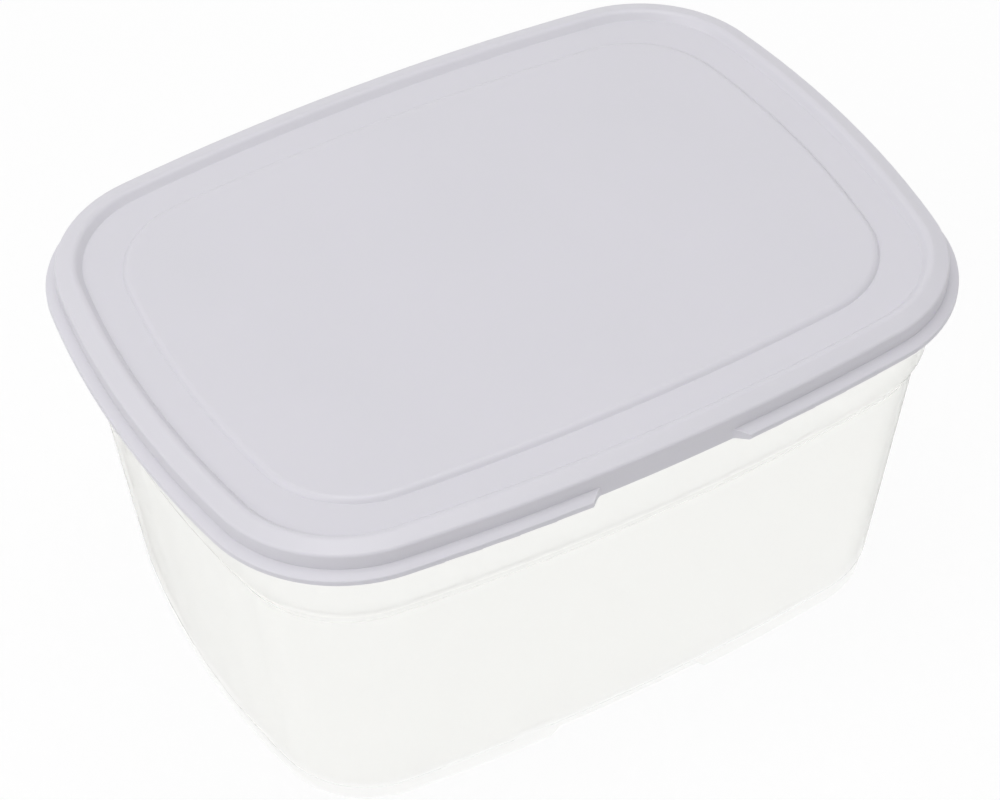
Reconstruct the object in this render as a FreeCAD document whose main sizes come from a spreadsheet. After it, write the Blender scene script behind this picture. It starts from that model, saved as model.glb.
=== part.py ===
"""Food storage container: a translucent tub with a press-on lid.

Millimetres, +Z up. The origin is at the middle of the foot, on the surface the tub stands on.
X runs along the long sides; the long side at -Y is the front.
Every outline is a rounded rectangle whose four sides bow outwards. Outlines are given by their inset
from the mouth of the tub, which is the outer edge of its rim bead.
"""

import FreeCAD
import Part
import math
import os
import Sketcher

SIZES = [
    # mouth of the tub: the outline that tub and lid share
    ("halfLength", 96.25),
    ("halfWidth", 71.75),
    ("bowLong", 557.5),
    ("bowShort", 250.0),
    ("corner", 32.1),
    # tub: walls, rim and collar
    ("wall", 1.2),
    ("floorThickness", 1.4),
    ("rimTop", 98.7),
    ("rimWidth", 2.0),
    ("rimEdge", 0.4),
    ("beadDepth", 2.4),
    ("beadSlope", 0.7),
    ("collarInset", 0.8),
    # tub: shoulder that turns the collar in towards the step
    ("shoulderRise", 4.3),
    ("shoulderInset", 2.3),
    ("shoulderRun", 2.25),
    ("shoulderRadius", 6.0),
    ("stepHeight", 72.4),
    ("stepInset", 4.4),
    ("shelfRise", 1.5),
    ("shelfRun", 1.0),
    ("rootDepth", 0.9),
    # tub: base and foot
    ("baseInset", 11.5),
    ("baseBowLong", 560.0),
    ("baseBowShort", 214.0),
    ("baseCorner", 24.6),
    ("baseRadius", 5.0),
    ("bendHeight", 6.5),
    ("bendRun", 0.66),
    ("bendFill", 7.0),
    ("footHeight", 2.4),
    ("footSetback", 0.85),
    ("footWidth", 0.9),
    ("footGapHalf", 19.5),
    ("footGapFlare", 2.5),
    # lid: rim, skirt and flange
    ("fitClearance", 0.2),
    ("lidThickness", 1.1),
    ("skirtThickness", 1.05),
    ("rimRise", 1.7),
    ("crestInset", 3.35),
    ("rimEdgeRadius", 0.8),
    ("crestRadius", 1.8),
    ("flangeOut", 2.55),
    ("skirtDepth", 5.6),
    ("flangeThickness", 1.5),
    ("flangeSlope", 1.2),
    ("flangeEdge", 0.4),
    ("flangeRoot", 0.6),
    ("gapHalf", 17.5),
    ("gapFlare", 3.0),
    ("gapBite", 0.35),
    ("gapReach", 4.0),
    ("gapRadius", 2.5),
    ("gapEdgeRadius", 1.0),
    ("lipThickness", 0.9),
    ("lipDepth", 3.0),
    ("lipDraft", 0.3),
    # lid: trough and raised panel
    ("troughDepth", 2.2),
    ("troughWallRun", 1.9),
    ("troughFoot", 0.3),
    ("plateOverlap", 1.0),
    ("plateInset", 8.0),
    ("stackGapLength", 0.95),
    ("stackGapWidth", 1.05),
    ("panelBowLong", 650.0),
    ("panelBowShort", 219.5),
    ("panelCorner", 24.4),
    ("panelRise", 1.05),
    ("panelDraft", 0.75),
    ("panelEdge", 2.1),
    ("panelFoot", 0.25),
]
SIZE = dict(SIZES)
SEARCH = 0.05

doc = FreeCAD.newDocument("FoodContainer")


def make_sheet():
    """Puts every driving size in its own cell, under its own name."""
    sheet = doc.addObject("Spreadsheet::Sheet", "Sizes")
    for row, (name, value) in enumerate(SIZES, start=1):
        sheet.set(f"A{row}", name)
        sheet.set(f"B{row}", str(value))
        sheet.setAlias(f"B{row}", name)
    return sheet


def value(text):
    """The number that a sum of named sizes gives, such as "stepInset + wall"."""
    total, sign = 0.0, 1.0
    for word in text.split():
        if word == "+":
            sign = 1.0
        elif word == "-":
            sign = -1.0
        else:
            total += sign * SIZE[word]
    return total


def formula(text):
    """The same sum as an expression that reads the sheet."""
    return " ".join(word if word in "+-" else f"Sizes.{word}" for word in text.split())


def minus(text):
    """The sum with every sign turned round, ready to follow another name."""
    words = text.split()
    if words and words[0] not in "+-":
        words.insert(0, "+")
    turned = {"+": "-", "-": "+"}
    return "".join(f" {turned.get(word, word)}" for word in words)


def plane(body, role):
    for feature in body.Origin.OriginFeatures:
        if feature.Role == role:
            return feature
    raise RuntimeError(f"{body.Label} has no {role}")


def new_sketch(body, name, role="XY_Plane", height=""):
    """A sketch on one of its body's origin planes, lifted to a height that the sheet drives."""
    sketch = body.newObject("Sketcher::SketchObject", name)
    sketch.AttachmentSupport = (plane(body, role), [""])
    sketch.MapMode = "FlatFace"
    if height:
        sketch.AttachmentOffset = FreeCAD.Placement(
            FreeCAD.Vector(0, 0, value(height)), FreeCAD.Rotation()
        )
        sketch.setExpression("AttachmentOffset.Base.z", formula(height))
    return sketch


def drive(sketch, name, constraint, text):
    """Adds a named dimension and ties it to the sheet."""
    index = sketch.addConstraint(constraint)
    sketch.renameConstraint(index, name)
    sketch.setExpression(f"Constraints.{name}", formula(text))


def bowed_quarter(half_length, half_width, bow_long, bow_short, corner):
    """Centres and meeting points of the three arcs between the ends of the two half axes."""
    long_centre = FreeCAD.Vector(0, half_width - bow_long, 0)
    short_centre = FreeCAD.Vector(half_length - bow_short, 0, 0)
    across = short_centre - long_centre
    reach = across.Length
    from_long, from_short = bow_long - corner, bow_short - corner
    along = (from_long**2 - from_short**2 + reach**2) / (2 * reach)
    aside = math.sqrt(from_long**2 - along**2)
    unit = across / reach
    normal = FreeCAD.Vector(unit.y, -unit.x, 0)
    corner_centre = long_centre + unit * along + normal * aside
    to_corner_long = (corner_centre - long_centre).normalize()
    to_corner_short = (corner_centre - short_centre).normalize()
    return {
        "centres": (short_centre, corner_centre, long_centre),
        "joins": (
            FreeCAD.Vector(half_length, 0, 0),
            short_centre + to_corner_short * bow_short,
            long_centre + to_corner_long * bow_long,
            FreeCAD.Vector(0, half_width, 0),
        ),
    }


def outline(body, name, height, sizes):
    """A closed outline of twelve tangent arcs; sizes names its half axes, bows and corner."""
    sketch = new_sketch(body, name, height=height)
    quarter = bowed_quarter(*[value(text) for text in sizes])
    half_length, half_width, bow_long, bow_short, corner = sizes
    radii = (value(bow_short), value(corner), value(bow_long))
    arcs = []
    for sign_x, sign_y in ((1, 1), (-1, 1), (-1, -1), (1, -1)):
        order = (0, 1, 2) if sign_x * sign_y > 0 else (2, 1, 0)
        for step in order:
            centre = quarter["centres"][step]
            ends = [quarter["joins"][step], quarter["joins"][step + 1]]
            if sign_x * sign_y < 0:
                ends.reverse()
            middle = FreeCAD.Vector(centre.x * sign_x, centre.y * sign_y, 0)
            angles = [
                math.atan2(end.y * sign_y - middle.y, end.x * sign_x - middle.x)
                for end in ends
            ]
            circle = Part.Circle(middle, FreeCAD.Vector(0, 0, 1), radii[step])
            arc = sketch.addGeometry(Part.ArcOfCircle(circle, angles[0], angles[1]))
            arcs.append(arc)
    for index, arc in enumerate(arcs):
        following = arcs[(index + 1) % len(arcs)]
        sketch.addConstraint(Sketcher.Constraint("Tangent", arc, 2, following, 1))
    short_arcs = [arcs[0], arcs[5], arcs[6], arcs[11]]
    long_arcs = [arcs[2], arcs[3], arcs[8], arcs[9]]
    corner_arcs = [arcs[1], arcs[4], arcs[7], arcs[10]]
    named = (("bowShort", short_arcs, bow_short), ("bowLong", long_arcs, bow_long),
             ("corner", corner_arcs, corner))
    for label, group, text in named:
        for other in group[1:]:
            sketch.addConstraint(Sketcher.Constraint("Equal", group[0], other))
        drive(sketch, label, Sketcher.Constraint("Radius", group[0], value(text)), text)
    # each side's two halves meet on an axis, at the half length or the half width
    for arc in (arcs[0], arcs[6]):
        sketch.addConstraint(Sketcher.Constraint("PointOnObject", arc, 1, -1))
        sketch.addConstraint(Sketcher.Constraint("PointOnObject", arc, 3, -1))
    for arc in (arcs[3], arcs[9]):
        sketch.addConstraint(Sketcher.Constraint("PointOnObject", arc, 1, -2))
        sketch.addConstraint(Sketcher.Constraint("PointOnObject", arc, 3, -2))
    drive(sketch, "right", Sketcher.Constraint("DistanceX", -1, 1, arcs[0], 1, value(half_length)),
          half_length)
    drive(sketch, "left", Sketcher.Constraint("DistanceX", arcs[6], 1, -1, 1, value(half_length)),
          half_length)
    drive(sketch, "back", Sketcher.Constraint("DistanceY", -1, 1, arcs[3], 1, value(half_width)),
          half_width)
    drive(sketch, "front", Sketcher.Constraint("DistanceY", arcs[9], 1, -1, 1, value(half_width)),
          half_width)
    return sketch


def inset(amount=""):
    """The five sizes of an outline parallel to the mouth, moved in by a sum of named sizes."""
    names = ("halfLength", "halfWidth", "bowLong", "bowShort", "corner")
    return [name + minus(amount) for name in names]


def place(sketch, geometry, end, name, x, y):
    """Ties one point of a sketch to two sums of named sizes; an empty sum means on the axis."""
    for letter, kind, text, axis in (("x", "DistanceX", x, -2), ("y", "DistanceY", y, -1)):
        if text:
            constraint = Sketcher.Constraint(kind, -1, 1, geometry, end, value(text))
            drive(sketch, f"{name}{letter}", constraint, text)
        else:
            sketch.addConstraint(Sketcher.Constraint("PointOnObject", geometry, end, axis))


def section(body, name, corners, role="XZ_Plane", height=""):
    """A closed outline of straight sides. Each corner is (x, y, radius) as sums of named sizes."""
    sketch = new_sketch(body, name, role, height)
    points = [FreeCAD.Vector(value(x), value(y), 0) for x, y, radius in corners]
    count = len(corners)
    arrive, leave, bends = [], [], {}
    for index, (x, y, radius) in enumerate(corners):
        here = points[index]
        if not radius:
            arrive.append(here)
            leave.append(here)
            continue
        before = (points[index - 1] - here).normalize()
        after = (points[(index + 1) % count] - here).normalize()
        half_angle = before.getAngle(after) / 2
        reach = value(radius) / math.tan(half_angle)
        bisector = (before + after).normalize()
        centre = here + bisector * (value(radius) / math.sin(half_angle))
        arrive.append(here + before * reach)
        leave.append(here + after * reach)
        bends[index] = centre
    sides = []
    for index in range(count):
        segment = Part.LineSegment(leave[index], arrive[(index + 1) % count])
        sides.append(sketch.addGeometry(segment))
    for index, (x, y, radius) in enumerate(corners):
        before, after = sides[index - 1], sides[index]
        if not radius:
            sketch.addConstraint(Sketcher.Constraint("Coincident", before, 2, after, 1))
            place(sketch, after, 1, f"c{index}", x, y)
            continue
        centre = bends[index]
        start, end = arrive[index] - centre, leave[index] - centre
        left_turn = start.cross(end).z > 0
        first, last = (start, end) if left_turn else (end, start)
        circle = Part.Circle(centre, FreeCAD.Vector(0, 0, 1), value(radius))
        angles = [math.atan2(first.y, first.x), math.atan2(last.y, last.x)]
        arc = sketch.addGeometry(Part.ArcOfCircle(circle, *angles))
        near, far = (1, 2) if left_turn else (2, 1)
        sketch.addConstraint(Sketcher.Constraint("Tangent", before, 2, arc, near))
        sketch.addConstraint(Sketcher.Constraint("Tangent", arc, far, after, 1))
        drive(sketch, f"r{index}", Sketcher.Constraint("Radius", arc, value(radius)), radius)
        mark = sketch.addGeometry(Part.Point(points[index]), True)
        place(sketch, mark, 1, f"c{index}", x, y)
        sketch.addConstraint(Sketcher.Constraint("PointOnObject", mark, 1, before))
        sketch.addConstraint(Sketcher.Constraint("PointOnObject", mark, 1, after))
    return sketch


def across(amount):
    """Where a section stands on the X axis, for an inset given as a sum of named sizes."""
    return "halfLength" + minus(amount)


def sweep(body, name, profile, path, cut=False):
    """Carries a section once round an outline, to add material or to cut it away."""
    kind = "SubtractivePipe" if cut else "AdditivePipe"
    pipe = body.newObject(f"PartDesign::{kind}", name)
    pipe.Profile = profile
    pipe.Spine = path
    return pipe


def loft(body, kind, name, lower, upper):
    """Straight-sided material or space between two outlines."""
    feature = body.newObject(f"PartDesign::{kind}", name)
    feature.Profile = lower
    feature.Sections = [upper]
    feature.Ruled = True
    return feature


def raise_from(body, kind, name, sketch, length, turned=False):
    """A pad or a pocket from a sketch, with the side it goes to stated."""
    feature = body.newObject(f"PartDesign::{kind}", name)
    feature.Profile = sketch
    feature.Length = value(length)
    feature.setExpression("Length", formula(length))
    feature.Reversed = turned
    return feature


def outline_sizes(stem, amount=""):
    """The five sizes of the base or panel outline, moved in by a sum of named sizes."""
    names = {
        "base": ("halfLength - baseInset", "halfWidth - baseInset",
                 "baseBowLong", "baseBowShort", "baseCorner"),
        "panel": ("halfLength - baseInset - footSetback - footWidth - stackGapLength",
                  "halfWidth - baseInset - footSetback - footWidth - stackGapWidth",
                  "panelBowLong", "panelBowShort", "panelCorner"),
    }
    return [name + minus(amount) for name in names[stem]]


def bend_section(body, name, wall_inset, floor, radius, fill):
    """The turn from wall to floor, as a section at the right-hand end of the tub."""
    foot = "halfLength - baseInset" + minus(wall_inset)
    top = "footHeight + bendHeight"
    return section(body, name, [
        (foot + " + bendRun", top, ""),
        (foot, floor, radius),
        (foot + minus(fill), floor, ""),
        (foot + minus(fill), top, ""),
    ])


def make_tub():
    body = doc.addObject("PartDesign::Body", "Tub")
    bend_top = "footHeight + bendHeight"
    inner_floor = "footHeight + floorThickness"
    # outside of the base: a ring with the rounded bend, filled in the middle
    base_path = outline(body, "BaseOutline", "footHeight", outline_sizes("base"))
    bend = bend_section(body, "BendSection", "", "footHeight", "baseRadius", "bendFill")
    sweep(body, "Bend", bend, base_path)
    middle = outline(body, "MiddleOutline", "footHeight", outline_sizes("base", "baseRadius"))
    raise_from(body, "Pad", "Middle", middle, "bendHeight")
    # outside of the walls, up to the step
    lower = outline(body, "WallFootOutline", bend_top, outline_sizes("base", "- bendRun"))
    step = outline(body, "StepOutline", "stepHeight", inset("stepInset"))
    loft(body, "AdditiveLoft", "Walls", lower, step)
    # foot ring, hollowed out from below
    foot = outline(body, "FootOutline", "", outline_sizes("base", "footSetback"))
    raise_from(body, "Pad", "Foot", foot, bend_top)
    hollow = outline(body, "HollowOutline", "", outline_sizes("base", "footSetback + footWidth"))
    raise_from(body, "Pocket", "FootHollow", hollow, "footHeight", turned=True)
    # collar and rim, carried round the mouth; the root sinks into the top of the walls
    mouth = outline(body, "Mouth", "rimTop", inset())
    shelf = "stepInset + wall + shelfRun"
    root = "shoulderInset + shoulderRun"
    collar = section(body, "CollarSection", [
        (across("rimEdge"), "rimTop", ""),
        (across(""), "rimTop - rimEdge", ""),
        (across(""), "rimTop - beadDepth", ""),
        (across("collarInset"), "rimTop - beadDepth - beadSlope", ""),
        (across("shoulderInset"), "stepHeight + shoulderRise", "shoulderRadius"),
        (across(root), "stepHeight", ""),
        (across(root), "stepHeight - rootDepth", ""),
        (across(shelf), "stepHeight - rootDepth", ""),
        (across(shelf), "stepHeight", ""),
        (across("shoulderInset + wall"), "stepHeight + shoulderRise", ""),
        (across("rimWidth"), "rimTop", ""),
    ])
    sweep(body, "Collar", collar, mouth)
    # inside of the walls, then the floor with its rounded edge
    inner_foot = outline(body, "InnerFootOutline", bend_top,
                         outline_sizes("base", "- bendRun + wall"))
    opening = outline(body, "OpeningOutline", "stepHeight + shelfRise", inset("stepInset + wall"))
    loft(body, "SubtractiveLoft", "Inside", inner_foot, opening)
    floor_path = outline(body, "FloorPath", inner_floor, outline_sizes("base", "wall"))
    floor_bend = bend_section(body, "FloorBendSection", "wall", inner_floor,
                              "baseRadius - wall", "bendFill")
    sweep(body, "FloorBend", floor_bend, floor_path, cut=True)
    floor = outline(body, "FloorOutline", inner_floor, outline_sizes("base", "baseRadius + wall"))
    raise_from(body, "Pocket", "Floor", floor, "bendHeight", turned=True)
    # gaps in the foot at the middle of both long sides
    gaps = section(body, "FootGapSection", [
        ("- footGapHalf - footGapFlare", "- footHeight", ""),
        ("footGapHalf + footGapFlare", "- footHeight", ""),
        ("footGapHalf + footGapFlare", "", ""),
        ("footGapHalf", "footHeight", ""),
        ("- footGapHalf", "footHeight", ""),
        ("- footGapHalf - footGapFlare", "", ""),
    ])
    gap = raise_from(body, "Pocket", "FootGaps", gaps, "halfWidth + halfWidth")
    gap.Midplane = True
    return body


def round_loop(body, name, stem, grow, height, radius):
    """Rounds the edges at one height that lie within the base or panel outline."""
    doc.recompute()
    base = body.Tip
    level = value(height)
    reach = value(outline_sizes(stem, minus(grow))[0]) + SEARCH
    names = []
    for number, edge in enumerate(base.Shape.Edges, start=1):
        box = edge.BoundBox
        flat = abs(box.ZMin - level) < SEARCH and abs(box.ZMax - level) < SEARCH
        if flat and max(abs(box.XMin), abs(box.XMax)) < reach:
            names.append(f"Edge{number}")
    if len(names) < 12:
        raise RuntimeError(f"{name} finds {len(names)} edges at {level}")
    fillet = body.newObject("PartDesign::Fillet", name)
    fillet.Base = (base, names)
    fillet.Radius = value(radius)
    fillet.setExpression("Radius", formula(radius))
    return fillet


def make_lid():
    body = doc.addObject("PartDesign::Body", "Lid")
    mouth = outline(body, "LidMouth", "rimTop", inset())
    skirt = "- fitClearance - skirtThickness"
    below = "rimTop - skirtDepth"
    shoulder = below + " + flangeThickness + flangeSlope"
    # flange first, with its finger gaps, so that the skirt closes their inner side
    flange = section(body, "FlangeSection", [
        (across(skirt + " - flangeOut"), below, "flangeEdge"),
        (across(skirt + " - flangeOut"), below + " + flangeThickness", "flangeEdge"),
        (across(skirt), shoulder, ""),
        (across(skirt + " + flangeRoot"), shoulder, ""),
        (across(skirt + " + flangeRoot"), below, ""),
    ])
    sweep(body, "Flange", flange, mouth)
    bottom = "- halfWidth - fitClearance - skirtThickness"
    edge = bottom + " - flangeOut"
    corner, end = "gapHalf + gapFlare", "gapHalf + gapFlare + gapReach"
    gap_outline = section(body, "FingerGapOutline", [
        ("- gapHalf", bottom + " + gapBite", "gapRadius"),
        ("gapHalf", bottom + " + gapBite", "gapRadius"),
        (corner, edge + " + gapBite", "gapEdgeRadius"),
        (end, edge, ""),
        (end, edge + " - gapReach", ""),
        ("-" + minus(end)[2:], edge + " - gapReach", ""),
        ("-" + minus(end)[2:], edge, ""),
        ("-" + minus(corner)[2:], edge + " + gapBite", "gapEdgeRadius"),
    ], role="XY_Plane", height=below)
    gap = raise_from(body, "Pocket", "FingerGap", gap_outline,
                     "flangeThickness + flangeSlope", turned=True)
    gaps = body.newObject("PartDesign::Mirrored", "FingerGaps")
    gaps.Originals = [gap]
    gaps.MirrorPlane = (plane(body, "XZ_Plane"), [""])
    body.Tip = gaps
    # rim, skirt and sealing lip, carried round the mouth
    trough = "rimTop + lidThickness + rimRise - troughDepth"
    under = "rimTop + rimRise - troughDepth"
    lip = "rimWidth + fitClearance + lipDraft"
    rim = section(body, "RimSection", [
        (across(skirt), "rimTop + lidThickness", "rimEdgeRadius"),
        (across("crestInset"), "rimTop + lidThickness + rimRise", "crestRadius"),
        (across("crestInset + troughWallRun"), trough, "troughFoot"),
        (across("plateInset + plateOverlap"), trough, ""),
        (across("plateInset + plateOverlap"), under, ""),
        (across(lip + " + lipThickness"), under, ""),
        (across(lip + " + lipThickness"), "rimTop - lipDepth", ""),
        (across(lip), "rimTop - lipDepth", ""),
        (across("rimWidth + fitClearance"), "rimTop", ""),
        (across("- fitClearance"), "rimTop", ""),
        (across("- fitClearance"), below, ""),
        (across(skirt), below, ""),
    ])
    sweep(body, "Rim", rim, mouth)
    # plate with its raised panel, hollow underneath
    plate = outline(body, "PlateOutline", under, inset("plateInset"))
    raise_from(body, "Pad", "Plate", plate, "lidThickness")
    panel_foot = outline(body, "PanelFootOutline", trough, outline_sizes("panel", "- panelDraft"))
    panel_top = outline(body, "PanelOutline", trough + " + panelRise", outline_sizes("panel"))
    loft(body, "AdditiveLoft", "Panel", panel_foot, panel_top)
    hollow = outline(body, "PanelHollowOutline", under, outline_sizes("panel", "lidThickness"))
    raise_from(body, "Pocket", "PanelHollow", hollow, "panelRise", turned=True)
    round_loop(body, "PanelEdge", "panel", "", trough + " + panelRise", "panelEdge")
    round_loop(body, "PanelFoot", "panel", "panelDraft", trough, "panelFoot")
    return body


def finish(body, label):
    """Names the body, checks every feature in it and writes its file."""
    doc.recompute()
    body.Label = label
    body.Placement = FreeCAD.Placement()
    for feature in body.Group:
        if "Invalid" in feature.State or "Error" in feature.State:
            raise RuntimeError(f"{label}: {feature.Label} did not build")
    shape = body.Shape
    if shape.isNull() or not shape.isValid() or len(shape.Solids) != 1:
        raise RuntimeError(f"{label} is not one valid solid")
    os.makedirs("parts", exist_ok=True)
    shape.exportStep(f"parts/{label}.step")
    box = shape.BoundBox
    print(f"{label}: {box.XLength:.2f} x {box.YLength:.2f} x {box.ZLength:.2f} mm, "
          f"z {box.ZMin:.2f} to {box.ZMax:.2f}, {shape.Volume / 1000:.2f} cm3")


make_sheet()
doc.recompute()
finish(make_tub(), "tub")
finish(make_lid(), "lid")
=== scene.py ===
import bmesh
import bpy
import math
from mathutils import Matrix, Vector

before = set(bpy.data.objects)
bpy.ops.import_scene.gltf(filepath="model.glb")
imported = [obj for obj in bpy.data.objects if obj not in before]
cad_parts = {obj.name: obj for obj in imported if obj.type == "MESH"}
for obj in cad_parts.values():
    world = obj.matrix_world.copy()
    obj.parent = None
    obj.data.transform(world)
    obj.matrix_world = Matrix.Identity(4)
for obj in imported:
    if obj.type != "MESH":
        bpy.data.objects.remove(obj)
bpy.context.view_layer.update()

mm = 0.001


def linear(hexColour):
    # sRGB hex to the linear values that sockets take
    parts = [int(hexColour[i:i + 2], 16) / 255 for i in (1, 3, 5)]
    return [p / 12.92 if p <= 0.04045 else ((p + 0.055) / 1.055) ** 2.4 for p in parts] + [1.0]


def addNode(tree, kind, settings=None, inputs=None, links=None):
    # settings: the node's own options; inputs: fixed values; links: what feeds each socket
    node = tree.nodes.new(kind)
    for name, value in (settings or {}).items():
        setattr(node, name, value)
    for name, value in (inputs or {}).items():
        node.inputs[name].default_value = value
    for name, source in (links or {}).items():
        tree.links.new(source, node.inputs[name])
    return node


def newMaterial(name):
    material = bpy.data.materials.new(name)
    material.use_nodes = True
    material.node_tree.nodes.clear()
    return material, material.node_tree


def finishMaterial(tree, surface):
    addNode(tree, "ShaderNodeOutputMaterial", links={"Surface": surface})


def grainBump(tree, where, settings):
    # the fine skin that a blasted tool leaves on moulded plastic
    grain = addNode(tree, "ShaderNodeTexNoise", inputs={
        "Scale": 1000 / settings["grainSize"],
        "Detail": 3.0,
        "Roughness": 0.6,
    }, links={"Vector": where})
    return addNode(tree, "ShaderNodeBump", inputs={
        "Strength": settings["grainStrength"],
        "Distance": settings["grainDepth"] * mm,
    }, links={"Height": grain.outputs["Fac"]}).outputs["Normal"]


def dress(nodeName, material):
    # a CAD node keeps its mesh and gets the finish of the real moulding
    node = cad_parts[nodeName]
    node.data.materials.clear()
    node.data.materials.append(material)
    return node


# camera: left of the container and in front of it, looking down on the lid
camera = {
    "place": (-283.4, -501.5, 617.5),   # mm from the middle of the foot
    "azimuth": 29.378,                  # degrees, turned from facing the long side
    "down": 44.437,                     # degrees below level
    "roll": 1.130,                      # degrees
    "lens": 119.44,                     # mm, on the sensor below
    "sensor": 36.0,                     # mm
    "clip": (50.0, 10000.0),            # mm
}


def makeCamera():
    data = bpy.data.cameras.new("camera")
    data.lens = camera["lens"]
    data.sensor_width = camera["sensor"]
    data.clip_start, data.clip_end = [distance * mm for distance in camera["clip"]]
    eye = bpy.data.objects.new("camera", data)
    bpy.context.scene.collection.objects.link(eye)
    turn = Matrix.Rotation(-math.radians(camera["azimuth"]), 4, "Z")
    tilt = Matrix.Rotation(math.radians(90 - camera["down"]), 4, "X")
    roll = Matrix.Rotation(-math.radians(camera["roll"]), 4, "Z")
    place = Matrix.Translation(Vector(camera["place"]) * mm)
    eye.matrix_world = place @ turn @ tilt @ roll
    bpy.context.scene.camera = eye


makeCamera()
print("camera placed")

# lid: polypropylene with a little grey-lavender masterbatch, moulded in a finely blasted tool
lidSettings = {
    "colour": "#d9d7de",
    "cloud": "#d5d4da",               # pigment that has flowed unevenly, hardly darker
    "cloudSize": 45.0,                # mm
    "grainSize": 0.55,                # mm; blasted steel is nearer 0.1 mm, too fine to show
    "grainDepth": 0.04,               # mm; drawn deeper too, in step with the coarse grain
    "grainStrength": 0.35,
    "roughness": 0.38,
    "ior": 1.49,
    "soak": 0.25,                     # share of the light that goes under the skin
    "soakDepth": (0.9, 0.85, 0.95),   # mm, for red, green and blue
}


def mouldedLidPlastic():
    # satin polypropylene: even pale colour, broad soft highlights, no clear reflections
    material, tree = newMaterial("satinMouldedPolypropylene")
    where = addNode(tree, "ShaderNodeTexCoord").outputs["Object"]
    cloud = addNode(tree, "ShaderNodeTexNoise", inputs={
        "Scale": 1000 / lidSettings["cloudSize"],
        "Detail": 2.0,
        "Roughness": 0.5,
    }, links={"Vector": where})
    colour = addNode(tree, "ShaderNodeMix", {"data_type": "RGBA"},
                     links={"Factor": cloud.outputs["Fac"]})
    colour.inputs["A"].default_value = linear(lidSettings["cloud"])
    colour.inputs["B"].default_value = linear(lidSettings["colour"])
    shader = addNode(tree, "ShaderNodeBsdfPrincipled", inputs={
        "Roughness": lidSettings["roughness"],
        "IOR": lidSettings["ior"],
        "Subsurface Weight": lidSettings["soak"],
        "Subsurface Radius": lidSettings["soakDepth"],
        "Subsurface Scale": mm,
    }, links={
        "Base Color": colour.outputs["Result"],
        "Normal": grainBump(tree, where, lidSettings),
    })
    finishMaterial(tree, shader.outputs["BSDF"])
    return material


# tub: the same polymer with no pigment, so light soaks through its 1.2 mm walls
tubSettings = {
    "colour": "#fcfcfb",
    "roughness": 1.0,         # haze all through the wall, so nothing behind it is sharp
    "ior": 1.2,               # below the plastic's 1.49: haze sends light onward, hardly back
    "transmission": 1.0,
    "grainSize": 0.7,         # mm; about 0.1 mm in the real skin, too fine to show
    "grainDepth": 0.02,       # mm
    "grainStrength": 0.25,
    "weldDistance": 0.002,    # mm
    "edgeAngle": 24.0,        # degrees; a sharper turn than this stays an edge
}


def naturalTubPlastic():
    # milky translucent polypropylene: white haze with no sharp view through it
    material, tree = newMaterial("naturalTranslucentPolypropylene")
    where = addNode(tree, "ShaderNodeTexCoord").outputs["Object"]
    shader = addNode(tree, "ShaderNodeBsdfPrincipled", inputs={
        "Base Color": linear(tubSettings["colour"]),
        "Roughness": tubSettings["roughness"],
        "IOR": tubSettings["ior"],
        "Transmission Weight": tubSettings["transmission"],
    }, links={"Normal": grainBump(tree, where, tubSettings)})
    finishMaterial(tree, shader.outputs["BSDF"])
    return material


def evenOut(node):
    # the walls turn into the corners without a visible line, and real edges stay crisp
    weld = node.modifiers.new("weld", "WELD")
    weld.merge_threshold = tubSettings["weldDistance"] * mm
    split = node.modifiers.new("split", "EDGE_SPLIT")
    split.split_angle = math.radians(tubSettings["edgeAngle"])
    normals = node.modifiers.new("normals", "WEIGHTED_NORMAL")
    normals.mode = "FACE_AREA_WITH_ANGLE"
    normals.keep_sharp = True


dress("lid", mouldedLidPlastic())
evenOut(dress("tub", naturalTubPlastic()))
print("plastics made")

# floor and surroundings: a pale sweep under an even studio
stage = {
    "floorColour": "#f4f4f4",
    "size": 6000.0,      # mm
    "whiteness": 0.93,   # share of plain white seen from the camera; the rest keeps the shadow
    "ambient": 0.585,    # strength of the even light from all round
}


def whiteForTheEye(tree, share):
    # white where the camera looks past or through the container, and in its gloss;
    # plain for the light itself
    path = addNode(tree, "ShaderNodeLightPath").outputs
    through = addNode(tree, "ShaderNodeMath", {"operation": "MAXIMUM"}, links={
        0: path["Is Transmission Ray"],
        1: path["Is Glossy Ray"],
    })
    straight = addNode(tree, "ShaderNodeMath", {"operation": "MULTIPLY"},
                       inputs={1: share}, links={0: path["Is Camera Ray"]})
    return addNode(tree, "ShaderNodeMath", {"operation": "MAXIMUM"}, links={
        0: through.outputs[0],
        1: straight.outputs[0],
    }).outputs[0]


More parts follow.
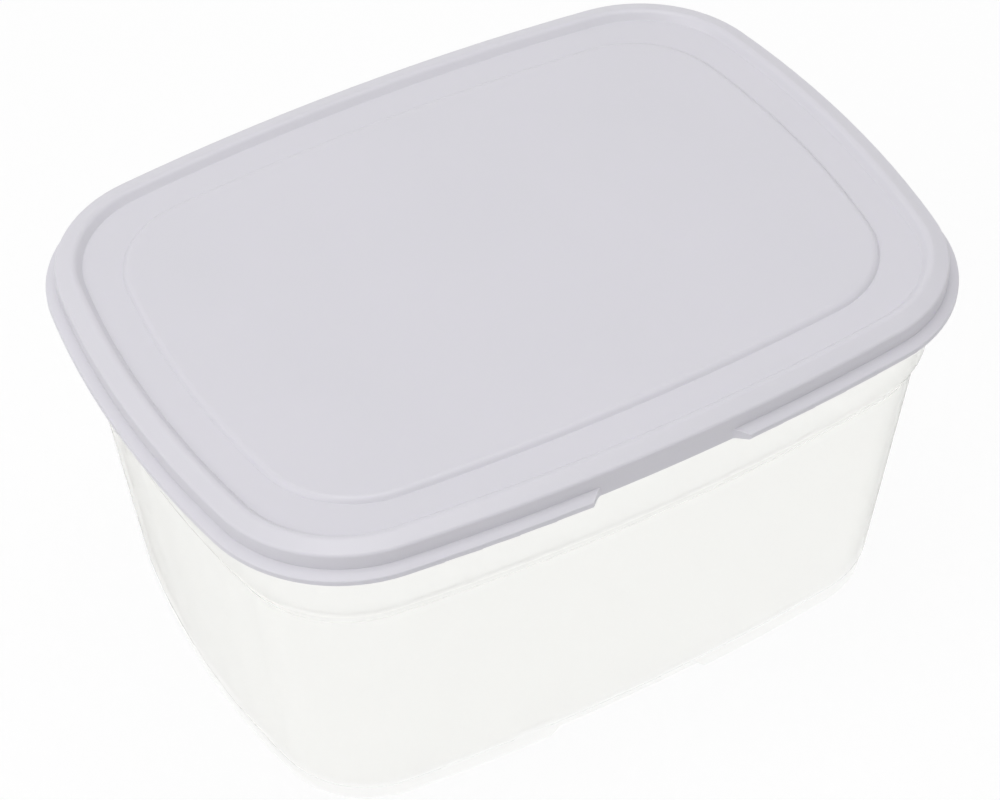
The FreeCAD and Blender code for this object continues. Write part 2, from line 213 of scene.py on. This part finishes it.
def makeFloor():
    sheet = bmesh.new()
    bmesh.ops.create_grid(sheet, x_segments=1, y_segments=1, size=stage["size"] * mm / 2)
    mesh = bpy.data.meshes.new("floor")
    sheet.to_mesh(mesh)
    sheet.free()
    floor = bpy.data.objects.new("floor", mesh)
    bpy.context.scene.collection.objects.link(floor)
    material, tree = newMaterial("paleSweep")
    plain = addNode(tree, "ShaderNodeBsdfDiffuse",
                    inputs={"Color": linear(stage["floorColour"])})
    white = addNode(tree, "ShaderNodeEmission", inputs={"Strength": 1.0})
    both = addNode(tree, "ShaderNodeMixShader", links={
        "Fac": whiteForTheEye(tree, stage["whiteness"]),
        1: plain.outputs[0],
        2: white.outputs[0],
    })
    finishMaterial(tree, both.outputs[0])
    mesh.materials.append(material)


def makeWorld():
    world = bpy.data.worlds.new("studio")
    bpy.context.scene.world = world
    world.use_nodes = True
    tree = world.node_tree
    tree.nodes.clear()
    plain, white = [addNode(tree, "ShaderNodeBackground", inputs={
        "Color": (1, 1, 1, 1),
        "Strength": strength,
    }) for strength in (stage["ambient"], 1.0)]
    both = addNode(tree, "ShaderNodeMixShader", links={
        "Fac": whiteForTheEye(tree, 1.0),
        1: plain.outputs[0],
        2: white.outputs[0],
    })
    addNode(tree, "ShaderNodeOutputWorld", links={"Surface": both.outputs[0]})


# lamps: soft boxes, all aimed at the middle of the container; mm and watts
lampAim = (0, 0, 60)
lamps = {
    "topBox": {"place": (0, 60, 1300), "size": (700, 500), "watts": 3.95},
    "leftBox": {"place": (-950, -150, 850), "size": (900, 600), "watts": 3.6},
    "frontBox": {"place": (650, -1100, 450), "size": (1200, 700), "watts": 0.3},
}


def makeLamps():
    for name, lamp in lamps.items():
        data = bpy.data.lights.new(name, "AREA")
        data.shape = "RECTANGLE"
        data.size, data.size_y = [side * mm for side in lamp["size"]]
        data.energy = lamp["watts"]
        box = bpy.data.objects.new(name, data)
        box.location = Vector(lamp["place"]) * mm
        box.rotation_mode = "QUATERNION"
        facing = Vector(lampAim) - Vector(lamp["place"])
        box.rotation_quaternion = facing.to_track_quat("-Z", "Y")
        bpy.context.scene.collection.objects.link(box)


makeFloor()
makeWorld()
makeLamps()
bpy.context.scene.view_settings.view_transform = "Standard"
print("stage and light made")
